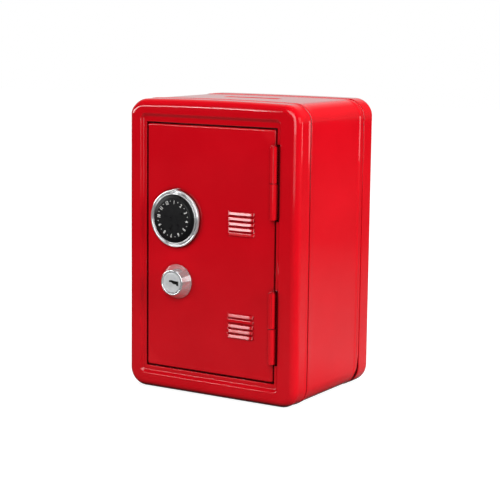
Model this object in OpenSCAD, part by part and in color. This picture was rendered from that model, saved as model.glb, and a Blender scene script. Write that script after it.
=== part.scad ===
// Toy safe coin bank: a small pressed-steel safe with a hinged door, a number dial and a key lock.
// Millimetres. X runs to the right as the door is faced, Y runs from the door to the back, Z is up.
// The origin is on the surface it stands on, under the middle of the whole object.
// Each part is drawn with Y = 0 on the front face of the case and moved into place by in_place().

/* [Case] */
// Width of the case
case_w = 121; // [115:1:130]
// Depth of the case, without what stands out of the door
case_d = 94; // [86:1:110]
// Height of the case
case_h = 180; // [176:1:190]
// Radius of the four upright corners, seen from the front
corner_r = 11.5; // [10:0.5:13]
// Radius of the rounded front and rear edges
edge_r = 5; // [4:0.5:6]
// Thickness of the steel sheet
sheet_t = 0.8; // [0.6:0.1:0.9]
// Depth of the skirt of the front frame
front_skirt = 13.7; // [12:0.1:16]
// Depth of the skirt of the rear cover
rear_skirt = 14.2; // [12:0.1:16]
// Length of wrap that runs inside each skirt
wrap_lap = 7; // [5:0.5:8]

/* [Coin slot] */
// Length of the coin slot, left to right
slot_w = 38; // [30:1:45]
// Width of the coin slot, front to back
slot_d = 5; // [4.6:0.1:6]

/* [Door] */
// Width of the door
door_w = 90.5; // [90:0.5:91]
// Height of the door
door_h = 149.4; // [147:0.2:151]
// Height of the door's bottom edge
door_z = 15; // [14.5:0.1:16]
// Sideways place of the middle of the door
door_x = -1.1; // [-1.3:0.1:-0.9]
// Gap between the door and the frame
door_gap = 0.8; // [0.7:0.1:1]
// How far the door face lies behind the front face of the case
door_recess = 1.5; // [1.2:0.1:1.8]
// Depth of the door's folded flange
door_flange = 6.5; // [6:0.1:7]
// Width of the sunk border on the left of the doorway
border_left = 2.9; // [2.6:0.1:3.2]
// Width of the sunk border on the right of the doorway
border_right = 2.2; // [2.2:0.1:2.6]
// Width of the sunk border below the doorway
border_low = 3.9; // [3.4:0.1:4.2]
// Width of the sunk border above the doorway
border_top = 4.2; // [3.6:0.1:4.4]
// Width of the lip that the closed door meets
lip_w = 1.8; // [1.4:0.1:2]

/* [Louvres] */
// Number of louvres in each group
louvre_count = 5; // [3:1:6]
// Length of one louvre
louvre_w = 18.4; // [14:0.2:20]
// Height of one louvre
louvre_h = 2.1; // [1.8:0.1:2.4]
// How far a louvre stands out of the door
louvre_out = 0.9; // [0.7:0.1:1.2]
// Distance from one louvre to the next
louvre_pitch = 3.1; // [3:0.1:3.6]
// Sideways place of the middle of the louvres
louvre_x = 21.2; // [18:0.2:23]
// Height of the middle of the upper group
louvre_upper_z = 107.8; // [104:0.2:112]
// Height of the middle of the lower group
louvre_lower_z = 46.4; // [42:0.2:50]

/* [Hinges] */
// Outer radius of the hinge barrel
barrel_r = 2.2; // [2.1:0.1:2.3]
// Radius of the hinge pin
pin_r = 1; // [0.9:0.1:1]
// Length of one hinge
hinge_len = 42.4; // [36:0.2:44]
// Thickness of the hinge leaves
leaf_t = 0.7; // [0.6:0.1:0.7]
// Height of the middle of the upper hinge
hinge_upper_z = 133.4; // [130:0.2:138]
// Height of the middle of the lower hinge
hinge_lower_z = 47.9; // [44:0.2:52]

/* [Dial] */
// Sideways place of the dial
dial_x = -25.2; // [-25.2:0.1:-24.6]
// Height of the dial
dial_z = 107.6; // [106:0.1:112]
// Outer radius of the fixed ring
dial_ring_r = 17.5; // [17.3:0.1:18]
// Height of the fixed ring above the door
dial_ring_h = 2.4; // [2.2:0.1:2.8]
// Outer radius of the trim ring that turns with the knob
trim_r = 15.6; // [15.3:0.05:15.7]
// Height of the trim ring above the door
trim_h = 2.7; // [2.5:0.1:3.1]
// Radius of the knob where it meets the trim ring
knob_r = 14; // [13.6:0.1:14.1]
// Radius of the knob's numbered face
face_r = 11.9; // [11.6:0.1:12.4]
// Height of the knob above the door
knob_h = 4; // [3.8:0.1:4.6]
// Radius of the locking disc behind the door
cam_disc_r = 24; // [23.8:0.1:24.5]
// Distance of the disc's flat from the dial's axis
cam_flat = 19.5; // [19:0.1:19.8]

/* [Key lock] */
// Sideways place of the lock
lock_x = -24.4; // [-25:0.1:-24]
// Height of the lock
lock_z = 68.9; // [66:0.1:70]
// Radius of the lock's cone at the door
cone_base_r = 10.5; // [10:0.1:11]
// Radius of the lock's cone at its front
cone_front_r = 7.9; // [7.7:0.1:8.2]
// How far the lock stands out of the door
lock_out = 6.2; // [6:0.1:7]
// Radius of the turning plug's head
plug_r = 6.2; // [6:0.1:6.3]
// Reach of the latch arm from the lock's axis
latch_reach = 25; // [24.5:0.1:26]
// Number of wafers in the plug
wafer_count = 4; // [3:1:4]

/* [Hidden] */
$fn = 64;

// Reach past a surface that a cut leaves clean
over = 1;
// Clearance of a turning fit, on the radius
run_gap = 0.05;
// Clearance between pieces that pass each other
pass_gap = 0.3;
// Clearance of the wrap inside the skirts
lap_gap = 0.05;

// Front face of the case in the object's own frame
out_of_case = lock_out - door_recess;
front_y = -(case_d - out_of_case) / 2;

// Sides of the door, of its opening and of the sunk border round it
door_x0 = door_x - door_w / 2;
door_x1 = door_x + door_w / 2;
door_z1 = door_z + door_h;
land_back = door_recess + sheet_t;
border_x0 = door_x0 - door_gap - border_left;
border_x1 = door_x1 + door_gap + border_right;
border_z0 = door_z - door_gap - border_low;
border_z1 = door_z1 + door_gap + border_top;
door_back = door_recess + door_flange;
lip_front = door_back + pass_gap;
lip_back = lip_front + sheet_t;

// Hinge axis, in front of the door's right edge
hinge_x = door_x1;
hinge_y = door_recess - pass_gap - barrel_r;
bore_r = pin_r + run_gap;
leaf_inner = 1.1;
notch_x = hinge_x + barrel_r + 0.7;
notch_over = 1.2;
foot_w = 10;
head_r = 1.7;
head_h = 0.6;

// Dial and lock depths, measured from the door face towards the back
hook_front = lip_back + 0.5 - door_recess;
ring_wall = 1.55;
floor_t = 0.6;
knob_back = -floor_t - pass_gap;
knob_wall = 1.4;
boss_r = 5;
spindle_front = -2.8;
spindle_r = 3;
bush_r = 4.2;
clinch_r = 5.6;
clinch_back = sheet_t + 0.9;
hub_r = 6;
hub_front = 3;
cam_t = 1.2;
cam_back = hook_front + cam_t;
screw_r = 1.2;
pointer_w = 2.4;
pointer_out = 0.8;
pointer_up = 0.8;

// Lock depths, measured the same way
housing_r = 8.2;
housing_back = hook_front - 0.4;
plug_front = 0.4 - lock_out;
plug_step = plug_front + 1.8;
plug_body_r = 5.6;
plug_back = housing_back + 0.3;
latch_t = 1.5;
latch_back = hook_front + latch_t;
square_w = 6;
latch_w = 10;
washer_t = 0.6;
nut_r = 12.7;
nut_t = 3;
latch_screw_r = 1.6;
key_x0 = -2;
key_x1 = 4.6;
key_h = 1.5;
wafer_pitch = 1.5;
wafer_t = 0.8;
wafer_w = 7.6;
wafer_h = 4.4;
wafer_y0 = -3;
spring_r = 0.45;
spring_wire = 0.14;
spring_len = 2.8;
spring_turns = 4;
spring_z = wafer_h / 2 + 0.8;

module in_place() {
  translate([0, front_y, 0]) children();
}

// Extrudes an outline drawn in X and Z from depth y0 to depth y1
module deep(y0, y1) {
  rotate([90, 0, 0]) translate([0, 0, -y1]) linear_extrude(height = y1 - y0) children();
}

// Puts parts drawn about Z onto an axis that runs into the door, from the door face
module through_door(x, z) {
  translate([x, door_recess, z]) rotate([-90, 0, 0]) children();
}

// Outline given by its four sides
module outline(x0, x1, z0, z1) {
  translate([x0, z0]) square([x1 - x0, z1 - z0]);
}

// Outline of the door grown on every side
module door_outline(grow) {
  outline(door_x0 - grow, door_x1 + grow, door_z - grow, door_z1 + grow);
}

// Outline of the sunk border grown on every side
module border_outline(grow) {
  outline(border_x0 - grow, border_x1 + grow, border_z0 - grow, border_z1 + grow);
}

// Rounded outline of the case, shrunk by inset, standing on Z = inset
module case_outline(inset) {
  r = corner_r - inset;
  x = case_w / 2 - corner_r;
  outline(-x, x, inset, case_h - inset);
  outline(inset - case_w / 2, case_w / 2 - inset, corner_r, case_h - corner_r);
  for (side = [-1, 1])
    for (z = [corner_r, case_h - corner_r])
      translate([side * x, z]) circle(r);
}

// Section of a rounded edge: x across from the start of the radius, y depth from the face
module edge_section(inset, reach, depth) {
  r = edge_r - inset;
  translate([0, inset]) square([reach - r, depth - inset]);
  translate([0, edge_r]) square([reach, depth - edge_r]);
  translate([reach - r, edge_r]) circle(r);
}

// Block with the case's outline, a rounded front edge and the given depth, shrunk by inset
module rounded_block(inset, depth) {
  x = case_w / 2 - corner_r;
  z = case_h / 2 - corner_r;
  reach = corner_r - inset;
  deep(inset, depth) outline(-x, x, corner_r, case_h - corner_r);
  translate([0, 0, case_h / 2]) {
    for (side = [0, 180]) {
      rotate([0, side, 0]) translate([x, 0, -z]) linear_extrude(height = 2 * z)
        edge_section(inset, reach, depth);
      rotate([0, 90 + side, 0]) translate([z, 0, -x]) linear_extrude(height = 2 * x)
        edge_section(inset, reach, depth);
    }
    for (side_x = [-1, 1])
      for (side_z = [-1, 1])
        translate([side_x * x, 0, side_z * z]) rotate([-90, 0, 0])
          rotate_extrude() edge_section(inset, reach, depth);
  }
}

// Pressed shell with a rounded front edge, open at the back
module pressed_shell(depth) {
  difference() {
    rounded_block(0, depth);
    rounded_block(sheet_t, depth + over);
  }
}

module hinge_notch(mid_z) {
  translate([door_x1, -over, mid_z - hinge_len / 2 - notch_over])
    cube([notch_x - door_x1, lip_back + 2 * over, hinge_len + 2 * notch_over]);
}

module front_frame() {
  color("crimson") in_place() difference() {
    union() {
      difference() {
        pressed_shell(front_skirt);
        deep(-over, door_recess) border_outline(0);
      }
      deep(0, land_back) difference() {
        border_outline(sheet_t);
        border_outline(0);
      }
      deep(door_recess, land_back) border_outline(0);
      deep(door_recess, lip_back) door_outline(door_gap + sheet_t);
    }
    deep(-over, lip_front) door_outline(door_gap);
    deep(lip_front - over, lip_back + over)
      outline(door_x0 - door_gap + lip_w, door_x1 + door_gap,
              door_z - door_gap + lip_w, door_z1 + door_gap - lip_w);
    hinge_notch(hinge_upper_z);
    hinge_notch(hinge_lower_z);
  }
}

module body_wrap() {
  outer = sheet_t + lap_gap;
  seam_w = 0.4;
  y0 = front_skirt - wrap_lap;
  y1 = case_d - rear_skirt + wrap_lap;
  color("red") in_place() difference() {
    deep(y0, y1) difference() {
      case_outline(outer);
      case_outline(outer + sheet_t);
    }
    translate([-slot_w / 2, (case_d - slot_d) / 2, case_h - corner_r])
      cube([slot_w, slot_d, corner_r + over]);
    translate([-seam_w / 2, y0 - over, 0]) cube([seam_w, y1 - y0 + 2 * over, corner_r]);
  }
}

module rear_cover() {
  color("firebrick") in_place() translate([0, case_d, 0]) mirror([0, 1, 0])
    pressed_shell(rear_skirt);
}

// Hinge knuckle between two heights, with the given hole
module knuckle(z0, z1, hole_r) {
  translate([hinge_x, hinge_y, z0]) difference() {
    cylinder(h = z1 - z0, r = barrel_r);
    translate([0, 0, -over]) cylinder(h = z1 - z0 + 2 * over, r = hole_r);
  }
}

// Leaf on the frame: the lower knuckle, a web through the notch and a foot behind the border
module frame_hinge(mid_z) {
  z0 = mid_z - hinge_len / 2;
  z1 = mid_z - pass_gap / 2;
  web_x = hinge_x + barrel_r - leaf_t;
  in_place() {
    knuckle(z0, z1, pin_r);
    translate([web_x, hinge_y, z0]) cube([leaf_t, land_back + leaf_t - hinge_y, z1 - z0]);
    translate([web_x, land_back, z0]) cube([foot_w, leaf_t, hinge_len]);
  }
}

// Leaf on the door: the upper knuckle and a plate welded to the door's side flange
module door_hinge(mid_z) {
  z0 = mid_z + pass_gap / 2;
  z1 = mid_z + hinge_len / 2;
  plate_y = hinge_y + leaf_inner;
  in_place() {
    knuckle(z0, z1, bore_r);
    translate([door_x1, plate_y, z0]) cube([leaf_t, door_back - leaf_inner - plate_y, z1 - z0]);
  }
}

module hinge_pin(mid_z) {
  in_place() translate([hinge_x, hinge_y, mid_z - hinge_len / 2]) {
    cylinder(h = hinge_len + head_h, r = pin_r);
    translate([0, 0, hinge_len + run_gap]) cylinder(h = head_h, r = head_r);
  }
}

module upper_frame_hinge() {
  color("crimson") frame_hinge(hinge_upper_z);
}

module lower_frame_hinge() {
  color("crimson") frame_hinge(hinge_lower_z);
}

module upper_hinge_pin() {
  color("crimson") hinge_pin(hinge_upper_z);
}

module lower_hinge_pin() {
  color("crimson") hinge_pin(hinge_lower_z);
}

module upper_door_hinge() {
  color("red") door_hinge(hinge_upper_z);
}

module lower_door_hinge() {
  color("red") door_hinge(hinge_lower_z);
}

// Runs its children at the middle of every louvre
module each_louvre() {
  for (mid_z = [louvre_upper_z, louvre_lower_z])
    for (i = [0 : louvre_count - 1])
      translate([louvre_x - louvre_w / 2, door_recess, mid_z + (i - (louvre_count - 1) / 2) * louvre_pitch])
        children();
}

// Hood of a louvre: flush at its top edge and standing out at its bottom edge
module louvre_hood(inset) {
  half = louvre_h / 2;
  translate([inset, 0, 0]) rotate([90, 0, 90]) linear_extrude(height = louvre_w - 2 * inset)
    polygon([[sheet_t / 2, half - inset], [0, half - inset], [inset - louvre_out, inset - half],
             [inset - louvre_out, -half], [sheet_t / 2, -half]]);
}

// Slit below a louvre, open to the inside of the door
module louvre_slit() {
  wall = 0.45;
  slit_h = 1.1;
  translate([wall, -louvre_out + wall, -louvre_h / 2 - run_gap])
    cube([louvre_w - 2 * wall, louvre_out - wall + sheet_t + over, slit_h]);
  translate([wall, -louvre_out - over, -louvre_h / 2 - run_gap])
    cube([louvre_w - 2 * wall, louvre_out + over, wall]);
}

module door_panel() {
  color("red") in_place() difference() {
    union() {
      deep(door_recess, land_back) door_outline(0);
      deep(door_recess, door_back) difference() {
        door_outline(0);
        door_outline(-sheet_t);
      }
      each_louvre() louvre_hood(0);
    }
    each_louvre() louvre_slit();
    through_door(dial_x, dial_z) translate([0, 0, -over]) cylinder(h = 3 * over, r = bush_r);
    through_door(lock_x, lock_z) translate([0, 0, -over]) cylinder(h = 3 * over, r = housing_r);
  }
}

// Fixed ring with an index mark at its top and a bush clinched through the door
module dial_base_ring() {
  soft = 0.5;
  color("gainsboro") in_place() through_door(dial_x, dial_z) {
    rotate_extrude() polygon([
      [spindle_r + run_gap, -floor_t], [dial_ring_r - ring_wall, -floor_t],
      [dial_ring_r - ring_wall, soft - dial_ring_h], [dial_ring_r - ring_wall + soft, -dial_ring_h],
      [dial_ring_r - soft, -dial_ring_h], [dial_ring_r, soft - dial_ring_h],
      [dial_ring_r, 0], [bush_r, 0], [bush_r, sheet_t], [clinch_r, sheet_t],
      [clinch_r, clinch_back], [spindle_r + run_gap, clinch_back]
    ]);
    translate([0, -dial_ring_r, -dial_ring_h - pointer_up])
      linear_extrude(height = dial_ring_h + pointer_up) polygon([[-pointer_w / 2, -pointer_out], [0, ring_wall], [pointer_w / 2, -pointer_out]]);
  }
}

module dial_spring_washer() {
  gap = 0.1;
  thick = 0.4;
  color("silver") in_place() through_door(dial_x, dial_z) rotate_extrude() polygon([
    [spindle_r + 0.2, hub_front - gap - thick], [clinch_r, clinch_back + gap],
    [clinch_r, clinch_back + gap + thick], [spindle_r + 0.2, hub_front - gap]
  ]);
}

// Hollow knob with a tapered side and a boss that is pressed on the spindle
module dial_knob() {
  soft = 0.4;
  color("black") in_place() through_door(dial_x, dial_z) rotate_extrude() polygon([
    [0, -knob_h], [face_r - soft, -knob_h], [face_r, soft - knob_h], [knob_r, -trim_h],
    [knob_r, knob_back], [knob_r - knob_wall, knob_back], [knob_r - knob_wall, spindle_front],
    [boss_r, spindle_front], [boss_r, knob_back], [spindle_r, knob_back],
    [spindle_r, spindle_front], [0, spindle_front]
  ]);
}

module dial_trim_ring() {
  soft = 0.4;
  inner = knob_r + run_gap;
  color("white") in_place() through_door(dial_x, dial_z) rotate_extrude() polygon([
    [inner, knob_back], [inner, soft - trim_h], [inner + soft, -trim_h],
    [trim_r - soft, -trim_h], [trim_r, soft - trim_h], [trim_r, knob_back]
  ]);
}

module dial_spindle() {
  hole_d = 5;
  color("silver") in_place() through_door(dial_x, dial_z) difference() {
    translate([0, 0, spindle_front]) cylinder(h = cam_back - spindle_front, r = spindle_r);
    translate([0, 0, cam_back - hole_d]) cylinder(h = hole_d + over, r = screw_r);
  }
}

// Locking disc: it reaches behind the frame's lip except at its flat
module dial_cam() {
  color("goldenrod") in_place() through_door(dial_x, dial_z) difference() {
    union() {
      intersection() {
        translate([0, 0, hook_front]) cylinder(h = cam_t, r = cam_disc_r);
        translate([-cam_flat, -cam_disc_r - over, 0])
          cube([cam_flat + cam_disc_r + over, 2 * (cam_disc_r + over), cam_back + over]);
      }
      translate([0, 0, hub_front]) cylinder(h = cam_back - hub_front, r = hub_r);
    }
    translate([0, 0, hub_front - over]) cylinder(h = cam_back - hub_front + 2 * over, r = spindle_r);
  }
}

// Pan-head screw with a slot, its head starting at depth y0
module slotted_screw(y0, shank_r, shank_len, screw_head_r, screw_head_h) {
  slot = 0.8;
  difference() {
    union() {
      translate([0, 0, y0 - shank_len]) cylinder(h = shank_len + screw_head_h / 2, r = shank_r);
      translate([0, 0, y0]) cylinder(h = screw_head_h, r1 = screw_head_r, r2 = screw_head_r * 0.8);
    }
    translate([-screw_head_r - over, -slot / 2, y0 + screw_head_h / 2])
      cube([2 * (screw_head_r + over), slot, screw_head_h]);
  }
}

module dial_screw() {
  color("silver") in_place() through_door(dial_x, dial_z)
    slotted_screw(cam_back, screw_r, 4.5, 4.4, 1.8);
}

module lock_housing() {
  lip = 0.6;
  color("gainsboro") in_place() through_door(lock_x, lock_z) rotate_extrude() polygon([
    [plug_r + run_gap, plug_step + 0.1], [plug_r + run_gap, lip - lock_out],
    [plug_r + run_gap + lip, -lock_out], [cone_front_r - lip / 2, -lock_out],
    [cone_front_r, lip / 2 - lock_out], [cone_base_r, -0.4], [cone_base_r, 0],
    [housing_r, 0], [housing_r, housing_back], [plug_body_r + run_gap, housing_back],
    [plug_body_r + run_gap, plug_step + 0.1]
  ]);
}

module lock_nut() {
  color("silver") in_place() through_door(lock_x, lock_z) translate([0, 0, sheet_t])
    difference() {
      cylinder(h = nut_t, r = nut_r, $fn = 6);
      translate([0, 0, -over]) cylinder(h = nut_t + 2 * over, r = housing_r);
    }
}

// Runs its children at the front of every wafer, from the door face
module each_wafer() {
  for (i = [0 : wafer_count - 1])
    translate([0, 0, wafer_y0 + i * wafer_pitch]) children();
}

// Turning plug with a keyway, wafer slots and a square end
module lock_plug() {
  key_d = 10;
  slack = 0.15;
  hole_d = 5;
  color("lightgray") in_place() through_door(lock_x, lock_z) difference() {
    union() {
      translate([0, 0, plug_front]) cylinder(h = plug_step - plug_front, r = plug_r);
      translate([0, 0, plug_step]) cylinder(h = plug_back - plug_step, r = plug_body_r);
      translate([-square_w / 2, -square_w / 2, plug_back - over])
        cube([square_w, square_w, latch_back - plug_back + over]);
    }
    translate([key_x0, -key_h / 2, plug_front - over]) cube([key_x1 - key_x0, key_h, key_d + over]);
    each_wafer() {
      translate([-wafer_w / 2 - slack, -wafer_h / 2 - slack, -slack])
        cube([wafer_w + 2 * slack, wafer_h + 2 * slack, wafer_t + 2 * slack]);
      translate([-spring_len / 2 - slack, -spring_z - spring_r - slack, wafer_t / 2 - spring_r - slack])
        cube([spring_len + 2 * slack, spring_z, 2 * (spring_r + slack)]);
    }
    translate([0, 0, latch_back - hole_d]) cylinder(h = hole_d + over, r = latch_screw_r);
  }
}

module lock_wafers() {
  color("gold") in_place() through_door(lock_x, lock_z) each_wafer() difference() {
    translate([-wafer_w / 2, -wafer_h / 2, 0]) cube([wafer_w, wafer_h, wafer_t]);
    translate([key_x0, -key_h / 2, -over]) cube([key_x1 - key_x0 - 1.6, key_h, wafer_t + 2 * over]);
  }
}

// One point on the skin of a coil spring that runs along X
function coil_point(turn, around) =
  let (radius = spring_r - spring_wire + spring_wire * cos(around))
  [(turn / spring_turns - 0.5) * (spring_len - 2 * spring_wire) + spring_wire * sin(around),
   radius * cos(360 * turn), radius * sin(360 * turn)];

module coil_spring() {
  sides = 6;
  per_turn = 10;
  rings = spring_turns * per_turn;
  points = [for (i = [0 : rings]) for (j = [0 : sides - 1]) coil_point(i / per_turn, 360 * j / sides)];
  lower = [for (i = [0 : rings - 1]) for (j = [0 : sides - 1])
    [i * sides + j, i * sides + (j + 1) % sides, (i + 1) * sides + j]];
  upper = [for (i = [0 : rings - 1]) for (j = [0 : sides - 1])
    [i * sides + (j + 1) % sides, (i + 1) * sides + (j + 1) % sides, (i + 1) * sides + j]];
  start_cap = [for (j = [1 : sides - 2]) [0, j + 1, j]];
  end_cap = [for (j = [1 : sides - 2]) [rings * sides, rings * sides + j, rings * sides + j + 1]];
  polyhedron(points, concat(lower, upper, start_cap, end_cap), convexity = 4);
}

module wafer_springs() {
  color("silver") in_place() through_door(lock_x, lock_z) each_wafer()
    translate([0, -spring_z, wafer_t / 2]) coil_spring();
}

// Latch arm: it hangs down when the lock is open and turns behind the frame's lip
module latch_cam() {
  slack = 0.05;
  color("goldenrod") in_place() through_door(lock_x, lock_z) difference() {
    union() {
      translate([0, 0, hook_front]) cylinder(h = latch_t, r = latch_w / 2 + 1);
      translate([-latch_w / 2, 0, hook_front]) cube([latch_w, latch_reach, latch_t]);
    }
    translate([-square_w / 2 - slack, -square_w / 2 - slack, hook_front - over])
      cube([square_w + 2 * slack, square_w + 2 * slack, latch_t + 2 * over]);
  }
}

module latch_washer() {
  color("silver") in_place() through_door(lock_x, lock_z) translate([0, 0, latch_back])
    difference() {
      cylinder(h = washer_t, r = 5.5);
      translate([0, 0, -over]) cylinder(h = washer_t + 2 * over, r = latch_screw_r + 0.1);
    }
}

module latch_screw() {
  color("silver") in_place() through_door(lock_x, lock_z)
    slotted_screw(latch_back + washer_t, latch_screw_r, 4.5, 3.6, 1.8);
}

front_frame();
body_wrap();
rear_cover();
upper_frame_hinge();
lower_frame_hinge();
upper_hinge_pin();
lower_hinge_pin();
door_panel();
upper_door_hinge();
lower_door_hinge();
dial_base_ring();
dial_spring_washer();
lock_housing();
lock_nut();
dial_knob();
dial_trim_ring();
dial_spindle();
dial_cam();
dial_screw();
lock_plug();
lock_wafers();
wafer_springs();
latch_cam();
latch_washer();
latch_screw();
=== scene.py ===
"""Looks of the toy safe coin bank: pressed and enamelled steel skins, chrome dial and lock, studio.

Lengths are millimetres until a mesh is made, and metres in the materials and the studio.
Depth is measured from the front face of the case towards the back. Inset is measured inwards
from the outline of the case, seen from the front.
"""

import math

import bmesh
import bpy
from mathutils import Matrix, Vector


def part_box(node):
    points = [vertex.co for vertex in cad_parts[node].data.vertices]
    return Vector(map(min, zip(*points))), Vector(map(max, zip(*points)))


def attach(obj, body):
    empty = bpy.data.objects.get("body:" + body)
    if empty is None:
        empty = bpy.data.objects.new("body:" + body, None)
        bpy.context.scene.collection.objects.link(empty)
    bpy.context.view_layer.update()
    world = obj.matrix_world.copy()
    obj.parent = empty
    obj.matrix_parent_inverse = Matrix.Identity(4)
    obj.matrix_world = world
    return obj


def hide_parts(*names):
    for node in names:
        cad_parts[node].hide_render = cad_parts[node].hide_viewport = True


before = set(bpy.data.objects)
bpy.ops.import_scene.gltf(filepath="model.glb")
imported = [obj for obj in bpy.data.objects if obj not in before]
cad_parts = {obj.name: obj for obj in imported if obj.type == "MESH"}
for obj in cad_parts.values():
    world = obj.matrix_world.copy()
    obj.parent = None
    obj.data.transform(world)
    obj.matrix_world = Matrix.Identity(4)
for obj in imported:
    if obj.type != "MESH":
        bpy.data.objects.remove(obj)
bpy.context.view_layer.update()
MM = 0.001


def span(node):
    """Lowest and highest corner of a CAD node, in millimetres."""
    lo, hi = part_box(node)
    return lo / MM, hi / MM


# ---------------------------------------------------------------- places and sizes

case_lo, case_hi = span("front_frame")
rear_lo, rear_hi = span("rear_cover")
wrap_lo, wrap_hi = span("body_wrap")
door_lo, door_hi = span("door_panel")
ring_lo, ring_hi = span("dial_base_ring")
trim_lo, trim_hi = span("dial_trim_ring")
knob_lo = span("dial_knob")[0]
lock_lo, lock_hi = span("lock_housing")
plug_lo, plug_hi = span("lock_plug")

FRONT = case_lo.y
HALF_W = case_hi.x
TOP = case_hi.z
DEPTH = rear_hi.y - FRONT
SKIRT = case_hi.y - FRONT
REAR_SKIRT = rear_hi.y - rear_lo.y
CORNER_R = 11.5
EDGE_R = 4.9
SHEET = 0.8
CROWN = 1.1

# Sunk border: its depth, and its width to the left, to the right, below and above the doorway
RECESS = 1.5
BORDER_W = (2.9, 2.2, 3.9, 4.2)
BORDER_R = 2.2
GAP = 0.8
DOOR = (door_lo.x, door_hi.x, door_lo.z, door_hi.z)
DOOR_R = 1.3
OPENING = (DOOR[0] - GAP, DOOR[1] + GAP, DOOR[2] - GAP, DOOR[3] + GAP)
OPENING_R = 0.5
BORDER = (OPENING[0] - BORDER_W[0], OPENING[1] + BORDER_W[1],
          OPENING[2] - BORDER_W[2], OPENING[3] + BORDER_W[3])
DOOR_BACK = door_hi.y - FRONT
LIP_GAP = 0.3
LIP_FRONT = DOOR_BACK + LIP_GAP
LIP_W = 1.8
LIP_R = 0.4

HINGE_X = door_hi.x
BARREL_R = 2.2
BARREL_GAP = 0.3
HINGE_DEPTH = RECESS - BARREL_GAP - BARREL_R
HINGE_LEN = 42.4
KNUCKLE_GAP = 0.3
NOTCH_END = 1.2
NOTCH_GAP = 1.3
NOTCH_X = HINGE_X + BARREL_R + NOTCH_GAP

LOUVRE_X = 21.2
LOUVRE_Z = (107.8, 46.4)
LOUVRE_W = 18.4
LOUVRE_H = 2.1
LOUVRE_OUT = 0.9
LOUVRE_PITCH = 3.1
LOUVRE_END = 1.7
LOUVRE_MARGIN = 0.9
LOUVRES = 5

DIAL = ((trim_lo.x + trim_hi.x) / 2, (trim_lo.z + trim_hi.z) / 2)
LOCK = ((lock_lo.x + lock_hi.x) / 2, (lock_lo.z + lock_hi.z) / 2)
DOOR_FACE = FRONT + RECESS
KNOB_H = DOOR_FACE - knob_lo.y
LOCK_H = DOOR_FACE - lock_lo.y
DIAL_HOLE_R = 4.25
LOCK_HOLE_R = 8.25
HOLE_STEPS = 64


# ---------------------------------------------------------------- materials

def shader(name, metallic, roughness, specular=0.5):
    material = bpy.data.materials.new(name)
    material.use_nodes = True
    tree = material.node_tree
    surface = tree.nodes["Principled BSDF"]
    surface.inputs["Metallic"].default_value = metallic
    surface.inputs["Roughness"].default_value = roughness
    surface.inputs["Specular IOR Level"].default_value = specular
    return material, tree, surface


def coordinates(tree, stretch=(1, 1, 1)):
    place = tree.nodes.new("ShaderNodeTexCoord")
    mapping = tree.nodes.new("ShaderNodeMapping")
    mapping.inputs["Scale"].default_value = stretch
    tree.links.new(place.outputs["Object"], mapping.inputs["Vector"])
    return mapping.outputs["Vector"]


def noise(tree, vector, scale, detail=3.0, rough=0.5):
    node = tree.nodes.new("ShaderNodeTexNoise")
    node.inputs["Scale"].default_value = scale
    node.inputs["Detail"].default_value = detail
    node.inputs["Roughness"].default_value = rough
    tree.links.new(vector, node.inputs["Vector"])
    return node.outputs["Fac"]


def spread(tree, value, low, high, from_low=0.3, from_high=0.7):
    node = tree.nodes.new("ShaderNodeMapRange")
    node.inputs["From Min"].default_value = from_low
    node.inputs["From Max"].default_value = from_high
    node.inputs["To Min"].default_value = low
    node.inputs["To Max"].default_value = high
    tree.links.new(value, node.inputs["Value"])
    return node.outputs["Result"]


def blend_colour(tree, value, low, high, from_low=0.3, from_high=0.7):
    node = tree.nodes.new("ShaderNodeValToRGB")
    node.color_ramp.elements[0].position = from_low
    node.color_ramp.elements[0].color = (*low, 1)
    node.color_ramp.elements[1].position = from_high
    node.color_ramp.elements[1].color = (*high, 1)
    tree.links.new(value, node.inputs["Fac"])
    return node.outputs["Color"]


def bump(tree, surface, height, distance, strength=1.0):
    node = tree.nodes.new("ShaderNodeBump")
    node.inputs["Distance"].default_value = distance
    node.inputs["Strength"].default_value = strength
    tree.links.new(height, node.inputs["Height"])
    tree.links.new(node.outputs["Normal"], surface.inputs["Normal"])


RED_LOW = (0.54, 0.0022, 0.0075)
RED_HIGH = (0.6, 0.003, 0.0095)
RED_THIN = (0.72, 0.012, 0.02, 1)
# Painted shade: the darker red that the enamel takes in narrow gaps, and how far the occlusion
# reaches
RED_PAINTED_SHADE = (0.1, 0.0006, 0.0015, 1)
PAINTED_SHADE_REACH = 0.004


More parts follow.
